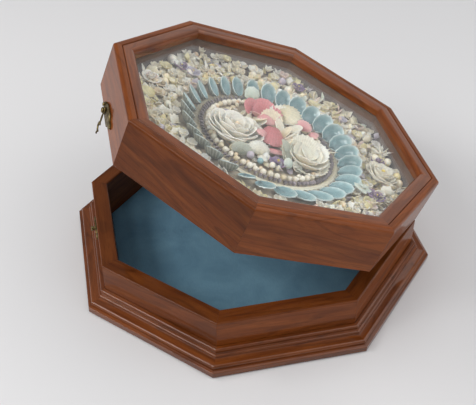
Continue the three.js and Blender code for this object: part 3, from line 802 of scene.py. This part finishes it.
def addBed(bm, corners, radius, z):  # the glued ground under the shells
    polygon(bm, corners, radius, z)
    bm.verts.ensure_lookup_table()
    layer = bm.verts.layers.float_color["tint"]
    for v in bm.verts[-corners:]:
        v[layer] = bedTint


def shellPiece(name, bm, slot, node, *materials):
    finishPiece(name, bm, inLid, [node], materials, shellSharp)


forms = {
    "petal": valve(8, 10, 1.05, -0.15, curl=0.06, thick=0.03),
    "smooth": valve(6, 8, 0.92, 0.30, thick=0.04),
    "fan": valve(6, 28, 1.25, 0.26, fan=72, power=0.55, ridges=14, ribDeep=0.024, serrate=0.05,
                 thick=0.03),
    "ribbedPetal": valve(6, 28, 1.1, -0.15, fan=78, power=0.6, ridges=14, ribDeep=0.010, serrate=0.035,
                         curl=0.08, thick=0.028),
    "blue": valve(9, 10, 0.84, -0.27, fan=86, thick=0.04, peak=0.8),
    "blueShallow": valve(9, 10, 0.80, -0.11, fan=86, thick=0.04, peak=0.8),
    "blade": valve(5, 6, 0.36, 0.10, fan=82, thick=0.04),
    "smallFan": valve(2, 8, 1.15, 0.22, fan=72, power=0.5, ridges=4, ribDeep=0.02, serrate=0.08,
                      thick=0.06),
    "smallCup": valve(3, 4, 0.9, 0.30, thick=0.06),
    "smallDish": valve(3, 5, 0.95, -0.20, fan=74, power=0.5, thick=0.06),
    "feather": valve(3, 4, 0.55, -0.12, fan=80, curl=0.12, thick=0.05),
    "rib": valve(4, 4, 0.8, 0.35, fan=80, thick=0.06),
    "spire": spunForm([(0, 0.0), (0.02, 0.16), (0.2, 0.24), (0.34, 0.17), (0.48, 0.19), (0.62, 0.11),
                       (0.74, 0.12), (0.88, 0.05), (1.0, 0.0)], 7),
    "snail": spunForm([(0, 0.0), (0.05, 0.28), (0.35, 0.48), (0.62, 0.38), (0.68, 0.26), (0.86, 0.2),
                       (1.0, 0.0)], 7),
    "bead": spunForm([(0, 0.0), (0.08, 0.27), (0.3, 0.46), (0.5, 0.5), (0.7, 0.46), (0.92, 0.27),
                      (1.0, 0.0)], 10),
    "thorn": spunForm([(0, 0.0), (0.02, 0.1), (0.4, 0.07), (1.0, 0.0)], 5),
}


# Materials of the shells: the tint with growth lines, ribs and a little cloudiness

def makeShell(name, gloss, ribStrength, growth=36, ribbing=26, tinted=None, mottle=0.12, see=0.0,
              shine=0.5):
    material, shader = newMaterial(
        name, Roughness=gloss, Specular_IOR_Level=shine, Subsurface_Weight=see, Subsurface_Scale=0.004,
        Subsurface_Radius=(1.0, 0.7, 0.5))
    split = add(shader, "SeparateXYZ", Vector=attribute(shader, "shellCoord"))
    along, across = split.outputs[0], split.outputs[1]
    wobble = noise(objectPlace(shader), 420, 3, 0.6)
    lines = maths("SINE", maths("MULTIPLY_ADD", along, growth, wobble))
    ribWave = maths("COSINE", maths("MULTIPLY", across, ribbing * pi))
    base = attribute(shader, "tint", "Color") if tinted is None else ramp(along, *tinted)
    shaded = mix(1.0, base, ramp(wobble, (0.3, 1 - mottle), (0.7, 1.0)))
    ringed = mix(0.35, shaded, ramp(lines, (0.0, 0.86), (0.6, 1.0)))
    ribbed = mix(ribStrength, ringed, ramp(ribWave, (0.0, 0.62), (0.7, 1.0)))
    height = maths("MULTIPLY_ADD", ribWave, ribStrength * 2, lines)
    wire(shader, Base_Color=ribbed, Normal=bump(height, 0.25, 0.0002))
    return material


shellFinish = makeShell("shell", 0.34, 0.12, see=0.5)
ribbedFinish = makeShell("ribbedShell", 0.38, 0.30, see=0.5)
pearlFinish = makeShell("pearlShell", 0.22, 0.0, growth=9, mottle=0.2, see=0.1)
pinkFinish = makeShell("pinkShell", 0.40, 0.28, ribbing=20, see=0.15)
# The blue faces' own teal, with painted shade nearly black at the root of each cup and a painted rim
# highlight in the pale band at the lip
blueFace = makeShell("blueShellFace", 0.07, 0.0, growth=14, mottle=0.22, shine=1.0, tinted=[
    (0.0, (0.04, 0.07, 0.08)), (0.25, (0.12, 0.24, 0.26)), (0.78, (0.22, 0.39, 0.42)),
    (0.92, (0.34, 0.52, 0.54)), (1.0, (0.62, 0.74, 0.74))])
blueBack = makeShell("blueShellBack", 0.42, 0.95, ribbing=16, mottle=0.35, tinted=[
    (0.0, (0.09, 0.11, 0.09)), (0.6, (0.26, 0.31, 0.26)), (1.0, (0.52, 0.56, 0.48))])
darkFinish = makeShell("darkShell", 0.40, 0.6, ribbing=8)

# The rings: pearls, a cream edging, dark ribs and the blue shells

pearls = {
    "count": 57, "r": 50.0, "z": 2.6, "size": 5.3,
    "kinds": (("bead", "ivory"), ("snail", "white"), ("bead", "white"), ("snail", "cream")),
    "fillers": 0.4, "fillerR": 47.0, "fillerTurn": 3.6, "fillerZ": 3.0, "fillerSize": 3.2,
}
edging = {
    "count": 84, "r": 56.9, "z": 0.7, "size": 5.2,
    "shade": (0.35, 0.95, -5),  # painted shade round the ring: darkest, what is added at the brightest, and where that is
}
ribs = {"count": 88, "r": 53.4, "z": 1.0, "pitch": 30, "roll": 58, "size": 5.0, "shade": 1.15}
blues = {
    "count": 31, "foot": 60.8, "z": 2.0, "pitch": 37, "roll": 20,
    "long": 17.8, "spread": 1.2, "longest": 60,
    "flatSide": 15, "flatReach": 68,  # round that angle they lie flatter and slanted
    "flatter": 24, "skew": 46, "unroll": 24, "out": 4.2, "longer": 0.8, "rise": 0.8, "shallowFrom": 0.3,
}


def frontness(a):  # one where the blue shells lie flattest, and nothing round the rest of the ring
    away = abs((a - blues["flatSide"] + 180) % 360 - 180)
    return cos(radians(1.3 * away)) ** 1.5 if away < blues["flatReach"] else 0


def bluePitch(a):
    return blues["pitch"] - blues["flatter"] * frontness(a)


def blueFoot(a):
    return blues["foot"] + blues["out"] * frontness(a)


def blueLength(a):
    wave = cos(radians(a - blues["longest"]))
    return blues["long"] + blues["spread"] * wave + blues["longer"] * frontness(a)


def makePearls():
    bm = shellMesh()
    for i in range(pearls["count"]):
        a = 360 * i / pearls["count"]
        form, tint = pick(pearls["kinds"])
        size = pearls["size"] * (1 + spread(0.08))
        place = pose(*polar(pearls["r"] + spread(0.4), a), pearls["z"] + spread(0.3),
                     a + 90 + spread(35), 10 + spread(25), 0, size)
        stamp(bm, form, place @ moved((-0.5, 0, 0)), tint, 0.95 + spread(0.08))
        if dice.random() < pearls["fillers"]:
            place = pose(*polar(pearls["fillerR"], a + pearls["fillerTurn"]), pearls["fillerZ"],
                         a, 30, 0, pearls["fillerSize"])
            stamp(bm, "bead", place, pick(("white", "peach")))
    shellPiece("pearlRing", bm, "pearl_shell", "pearl_ring", pearlFinish)


def makeEdging():
    bm = shellMesh()
    low, swing, brightest = edging["shade"]
    for i in range(edging["count"]):
        a = 360 * i / edging["count"]
        # painted shade: each edging shell is darker the further it lies from the lit front of the ring
        shade = low + swing * max(0, cos(radians(a - brightest))) ** 0.7
        place = pose(*polar(edging["r"], a), edging["z"], a, 6, 0, edging["size"], 1.1)
        stamp(bm, "smallFan", place, "cream", shade)
    shellPiece("creamEdging", bm, "cream_shell", "cream_edging", shellFinish)


def makeRibs():
    bm = shellMesh()
    for i in range(ribs["count"]):
        a = 360 * (i + spread(0.15)) / ribs["count"]
        place = pose(*polar(ribs["r"], a), ribs["z"], a, ribs["pitch"] + spread(7),
                     ribs["roll"] + spread(8), ribs["size"] * (1 + spread(0.08)))
        stamp(bm, "rib", place, "slate", ribs["shade"] + spread(0.45))
    shellPiece("ribbedRing", bm, "dark_shell", "ribbed_shells", darkFinish)


def makeBlues():
    bm = shellMesh()
    for i in range(blues["count"]):
        a = 360 * (i + 0.3 + spread(0.06)) / blues["count"]
        front = frontness(a)
        form = "blueShallow" if front > blues["shallowFrom"] else "blue"
        place = pose(*polar(blueFoot(a), a), blues["z"] + blues["rise"] * front,
                     a + blues["skew"] * front, bluePitch(a) + spread(2.0),
                     blues["roll"] - blues["unroll"] * front + spread(4),
                     blueLength(a) * (1 + spread(0.03)), 1 + spread(0.06))
        stamp(bm, form, place, "teal")
    shellPiece("blueRing", bm, "blue_shell", "blue_shells", blueFace, blueBack)


makePearls()
makeEdging()
makeRibs()
makeBlues()
print("rings made")


# The two cream roses, the pink shells and the small flowers in the middle

def rose(bm, form, x, y, z, size, heading, whorls, tint, shade=1.0):
    for k, (count, foot, pitch, long, rise) in enumerate(whorls):
        for i in range(count):
            a = heading + 25 * k + 360 * i / count + spread(7)
            px, py = polar(foot * size, a)
            place = pose(x + px, y + py, z + rise * size, a, pitch + spread(5), spread(10),
                         long * size * (1 + spread(0.06)))
            stamp(bm, form, place, tint, shade * (1 + spread(0.05)))


# Each whorl is a count, and the foot, pitch, length and rise of its petals
roseWhorls = [(9, 0.30, 22, 0.82, 0.0), (8, 0.20, 29, 0.78, 0.03), (6, 0.12, 37, 0.72, 0.08),
              (5, 0.07, 47, 0.58, 0.12), (3, 0.02, 58, 0.42, 0.16)]
wideWhorls = [(7, 0.16, 11, 0.90, 0.02), (5, 0.10, 22, 0.88, 0.06), (3, 0.04, 34, 0.74, 0.12)]
flowerWhorls = [(6, 0.10, 25, 0.92, 0.05), (3, 0.05, 65, 0.5, 0.2)]


def scatter(bm, shells):  # each is x, y, rise, heading, pitch, size, width, form and tint
    for x, y, z, heading, pitch, size, wide, form, tint in shells:
        stamp(bm, form, pose(x, y, z, heading, pitch, 0, size, wide), tint)


pinkOnes = {
    "back": [
        (-32, 1, 2, 150, 38, 17, 1.15, "petal", "pink"),
        (-31, -3, 2, 215, 36, 16, 1.1, "petal", "pink"),
        (-31, 4, 2, 92, 34, 16, 1.1, "petal", "pink"), (-31, 1, 3, 165, 48, 12, 1.2, "petal", "pink"),
        (-31, 1, 3, -28, 34, 11, 1.4, "petal", "palePink"),
        (-24, -4, 5, 50, 12, 17, 0.75, "smooth", "palePink"),
        (-29, 11, 6, 82, 30, 9, 0.5, "smooth", "pink")],
    "front": [
        (-9, 3, 4, -8, 6, 26, 0.92, "smooth", "deepPink"),
        (21, -9, 5, 80, 5, 20, 0.9, "blade", "palePink"),
        (4, -5, 7, -75, 22, 12, 0.8, "smooth", "palePink"),
        (-17, 34, 6, 150, 35, 10, 1, "fan", "palePink"),
        (-11, 38, 6, 60, 25, 9, 1, "fan", "palePink")],
}


roses = {  # x, y, height, size and heading, and a pose for each middle
    "left": (1, -30, 1.2, 23.0, 10), "leftShade": 0.95, "leftMiddle": (1, -30, 9.0, 0, 90, 0, 4.0),
    "right": (24, 25, 1.6, 19.5, 40), "rightShade": 0.94,
    "rightPetals": [
        (25, 22, 6, 165, 33, 20, 1.0, "ribbedPetal", "ivory"),
        (25, 26, 7, 118, 27, 18, 1.0, "ribbedPetal", "white")],
    "flower": (35, -2, 3, 7.5, 0), "flowerShade": 1.2, "flowerMiddle": (35, -2, 5.5, 0, 90, 0, 2.4),
}


def makeCentre():
    bm = shellMesh()
    rose(bm, "petal", *roses["left"], roseWhorls, "white", roses["leftShade"])
    stamp(bm, "bead", pose(*roses["leftMiddle"]), "peach")
    shellPiece("creamRoseLeft", bm, "cream_shell", "cream_rose_left", shellFinish)
    bm = shellMesh()
    rose(bm, "ribbedPetal", *roses["right"], wideWhorls, "ivory", roses["rightShade"])
    scatter(bm, roses["rightPetals"])
    shellPiece("creamRoseRight", bm, "cream_shell", "cream_rose_right", ribbedFinish)
    for name, node, key in (("pinkShells", "pink_rose", "back"), ("pinkHeart", "pink_cup", "front")):
        bm = shellMesh()
        scatter(bm, pinkOnes[key])
        shellPiece(name, bm, "pink_shell", node, pinkFinish)
    bm = shellMesh()
    rose(bm, "smallDish", *roses["flower"], flowerWhorls, "purple", roses["flowerShade"])
    stamp(bm, "bead", pose(*roses["flowerMiddle"]), "yellow")
    shellPiece("purpleFlower", bm, "dark_shell", "small_flower", shellFinish)


small = {
    "rows": ((43, 34), (37, 28), (31, 24), (25, 18), (18, 14), (11, 9), (4, 4)),  # radius and count
    "kinds": ["smallFan", "smallCup", "smallDish", "feather", "feather", "snail"],
    "tints": ["cream", "ivory", "white", "cream", "sage", "lilac", "brown"],
    "placed": [
        (-33, 16, 5, 100, 18, 21, 0.9, "fan", "cream"),
        (-24, 14, 5, 150, 24, 17, 1, "ribbedPetal", "ivory"),
        (-15, 8, 5, 190, 26, 16, 1, "ribbedPetal", "cream"),
        (-14, 21, 6, 70, 30, 12, 1, "petal", "ivory"),
        (-6, 15, 5, 240, 40, 15, 1, "petal", "ivory"), (1, 9, 7, 100, 55, 12, 0.6, "petal", "cream"),
        (4, 14, 7, 80, 55, 12, 0.5, "petal", "ivory"), (34, -10, 4, 200, 30, 8, 1, "smooth", "white"),
        (22, 12, 5, 250, 45, 15, 0.8, "smooth", "sage"), (33, 7, 6, 190, 34, 15, 0.6, "petal", "sage"),
        (33, -32, 4, 165, 34, 11, 1, "fan", "sage"), (31, -17, 5, 178, 36, 12, 1, "fan", "ivory"),
        (30, -12, 3, -30, 20, 10, 1, "smooth", "ivory"), (38, -18, 4, 0, 60, 5, 1, "bead", "teal"),
        (33, -25, 4, 0, 60, 6, 1, "bead", "lilac"), (12, 42, 7, 84, 16, 15, 1, "thorn", "ivory"),
        (12, 40, 7, 110, 12, 13, 1, "thorn", "ivory"), (8, 40, 7, 60, 14, 12, 1, "thorn", "ivory"),
        (-47, -5, 6, 165, 30, 15, 1, "smooth", "mint"), (26, -38, 2, 120, 30, 9, 1, "smooth", "cream"),
        (-24, -8, 4, 30, 30, 14, 1, "petal", "cream"), (-16, -12, 4, 60, 30, 14, 1, "petal", "ivory"),
        (12, 6, 6, 60, 50, 13, 0.5, "petal", "cream"), (5, 12, 7, 30, 60, 13, 0.5, "petal", "ivory"),
        (40, 6, 4, 180, 40, 9, 1, "smooth", "mint"), (41, 15, 4, 200, 30, 9, 1, "petal", "ivory"),
        (40, -9, 4, 20, 50, 5, 1, "bead", "white"), (18, -12, 3, 10, 30, 12, 1, "smooth", "blush")],
    "bedCorners": 64, "bedR": 46.4, "bedRise": 0.2,
}


def makeSmallShells():
    bm = shellMesh()
    for r, count in small["rows"]:
        for i in range(count):
            x, y = polar(r + spread(1.5), 360 * (i + spread(0.3)) / count)
            form = pick(small["kinds"])
            place = pose(x, y, between(1.5, 3.5), between(0, 360), between(0, 45),
                         spread(25), between(4, 6.5))
            stamp(bm, form, place, pick(small["tints"]), 0.97 + spread(0.1))
    scatter(bm, small["placed"])
    addBed(bm, small["bedCorners"], small["bedR"], bedZ + small["bedRise"])
    shellPiece("centreShells", bm, "mixed_shell", "centre_shells", ribbedFinish)


makeCentre()
makeSmallShells()
print("centre made")


# The field of small shells out to the walls

field = {
    "firstR": 73.5, "ringStep": 4.2, "spacing": 5.3,
    "swings": (70, 120), "freeR": 84,  # how far the shells turn, and where they start to turn freely
    "liningFace": inner - 1.1, "wallGap": 3.0,
    "low": 1.4, "rise": 7.0, "bank": 26,  # the shells rise towards the walls
    "overBlue": 0.94, "clear": 1.5, "frontClear": 4,
    "kinds": ["feather"] * 4 + ["smallFan"] * 4 + ["smallDish"] * 5 + ["smallCup"] * 3
    + ["snail", "spire", "bead"],
    "tints": ["cream"] * 12 + ["ivory"] * 12 + ["white"] * 6 + ["butter"] * 6 + ["peach"] * 2
    + ["blush"] * 2 + ["lilac"] * 2 + ["mint"],
    "tufts": 0.28, "tuftPetals": 5, "tuftForms": ("smallDish", "smallDish", "feather"),
    "rose": (28, 93, 5, 14, 0),
    "flowers": [
        (59, 76, 5, 8, 20, "purple", "yellow"), (9, 97, 6, 7, 50, "purple", "butter"),
        (-78, -61, 6, 7, 10, "purple", "yellow"), (-72, -52, 6, 7, 35, "lilac", "yellow"),
        (-88, 52, 6, 7, 15, "purple", "yellow"), (-46, -92, 6, 9, 15, "white", "white")],
    "cups": (52, 66, 5, 8, 0),
    "middle": 0.3, "middleSize": 0.24,
    "star": (-5, 107, 6), "thorns": 9, "thornLong": 12,
    "butterShell": (-23, -92, 5, 250, 20, 0, 13),
    "bedIn": 1.2, "bedRise": 0.1,
}


def wallDistance(x, y):  # how far a point is inside the lid's lining
    return field["liningFace"] - max(
        x * cos(k * turn) + y * sin(k * turn) for k in range(sides))


def blueReach(a):  # how far out the blue shells lie over the field
    return blueFoot(a) + field["overBlue"] * blueLength(a) * cos(radians(bluePitch(a)))


def addFieldShell(bm, x, y, z, a, swing, tint):
    if dice.random() < field["tufts"]:
        form = pick(field["tuftForms"])
        size, heading = between(4.6, 6.6), between(0, 360)
        whorl = (field["tuftPetals"], 0.02, between(15, 60), 0.95, 0.05)
        rose(bm, form, x, y, z + 0.8, size, heading, [whorl], tint)
        return
    form = pick(field["kinds"])
    place = pose(x, y, z, a + spread(swing), between(5, 65), spread(35), between(4.8, 8.4))
    stamp(bm, form, place, tint, 1.04 + spread(0.08))


def addFlower(bm, form, whorls, x, y, z, size, heading, tint, middle):
    rose(bm, form, x, y, z, size, heading, whorls, tint)
    place = pose(x, y, z + size * field["middle"], 0, 90, 0, size * field["middleSize"])
    stamp(bm, "bead", place, middle)


def makeField():
    bm = shellMesh()
    r = field["firstR"]
    while r < field["liningFace"] / cos(half):
        count = round(2 * pi * r / field["spacing"])
        for i in range(count):
            a = 360 * (i + spread(0.25)) / count
            x, y = polar(r + spread(1.4), a)
            room = wallDistance(x, y)
            clear = blueReach(a) + field["clear"] - field["frontClear"] * frontness(a)
            if room < field["wallGap"] or r < clear:
                continue
            nearWall = max(0.0, 1 - room / field["bank"])
            z = field["low"] + field["rise"] * nearWall * between(0.3, 1.0)
            swing = field["swings"][0] if r < field["freeR"] else field["swings"][1]
            addFieldShell(bm, x, y, z, a, swing, pick(field["tints"]))
        r += field["ringStep"]
    addFlower(bm, "petal", roseWhorls, *field["rose"], "ivory", "yellow")
    for flower in field["flowers"]:
        addFlower(bm, "smallDish", flowerWhorls, *flower)
    addFlower(bm, "smallCup", flowerWhorls, *field["cups"], "mint", "mint")
    for i in range(field["thorns"]):
        place = pose(*field["star"], 360 / field["thorns"] * i, 30 + spread(20), 0, field["thornLong"])
        stamp(bm, "thorn", place, "white")
    stamp(bm, "smooth", pose(*field["butterShell"]), "butter")
    addBed(bm, sides, (inner - field["bedIn"]) / cos(half), bedZ + field["bedRise"])
    shellPiece("fieldShells", bm, "mixed_shell", "outer_shells", shellFinish)


makeField()
bpy.data.meshes.remove(stampMesh)
print("field made")


# Camera, lights and floor, in metres

view = {"place": (0.4893, -0.1157, 0.4716), "target": (-0.0027, -0.0087, 0.0381),
        "lens": 59.73, "roll": 0.09}
studio = {
    "lights": {  # place, width and depth, power and colour
        "leftSoftbox": ((-0.10, -1.05, 0.87), (1.15, 0.34), 9.5, (1.0, 0.985, 0.965)),
        "rightSoftbox": ((0.56, 0.92, 0.82), (1.5, 1.5), 7.5, (1.0, 0.99, 0.98)),
        "stripLight": ((0.40, -0.66, 1.02), (0.5, 0.14), 1.6, (1.0, 0.99, 0.97)),
        "topSoftbox": ((-0.10, 0.45, 1.55), (1.8, 1.8), 8.5, (1.0, 0.99, 0.97)),
        "backdrop": ((-1.7, 1.1, 0.6), (2.6, 1.3), 3.2, (1.0, 1.0, 1.0)),
    },
    "aim": (0, 0, 0.08),
    "air": (0.88, 0.89, 0.91), "airStrength": 0.25,
    "floor": (0.765, 0.765, 0.78), "floorReach": 6, "floorZ": -0.0005,
}


def facing(place, target):  # the matrix of a camera or light at place that looks at target
    aim = (Vector(target) - Vector(place)).to_track_quat("-Z", "Y").to_matrix().to_4x4()
    return moved(place) @ aim


def makeCamera():
    data = bpy.data.cameras.new("camera")
    data.lens, data.sensor_width = view["lens"], 36
    camera = newObject("camera", data)
    camera.matrix_world = facing(view["place"], view["target"]) @ turned(view["roll"])
    bpy.context.scene.camera = camera


def makeStudio():
    for name, (place, size, power, colour) in studio["lights"].items():
        data = bpy.data.lights.new(name, "AREA")
        data.shape, data.size, data.size_y = "RECTANGLE", *size
        data.energy, data.color = power, colour
        newObject(name, data).matrix_world = facing(place, studio["aim"])
    world = bpy.data.worlds.new("studio")
    bpy.context.scene.world = world
    world.use_nodes = True
    wire(world.node_tree.nodes["Background"], Color=studio["air"], Strength=studio["airStrength"])
    bm = bmesh.new()
    bmesh.ops.create_grid(bm, x_segments=1, y_segments=1, size=studio["floorReach"],
                          matrix=moved((0, 0, studio["floorZ"])))
    floor = newObject("floor", newMesh("floor", bm))
    floor.data.materials.append(newMaterial("paleFloor", Base_Color=studio["floor"], Roughness=0.6,
                                            Specular_IOR_Level=0.3)[0])
    bpy.context.scene.view_settings.view_transform = "Standard"


makeCamera()
makeStudio()
print("studio made")
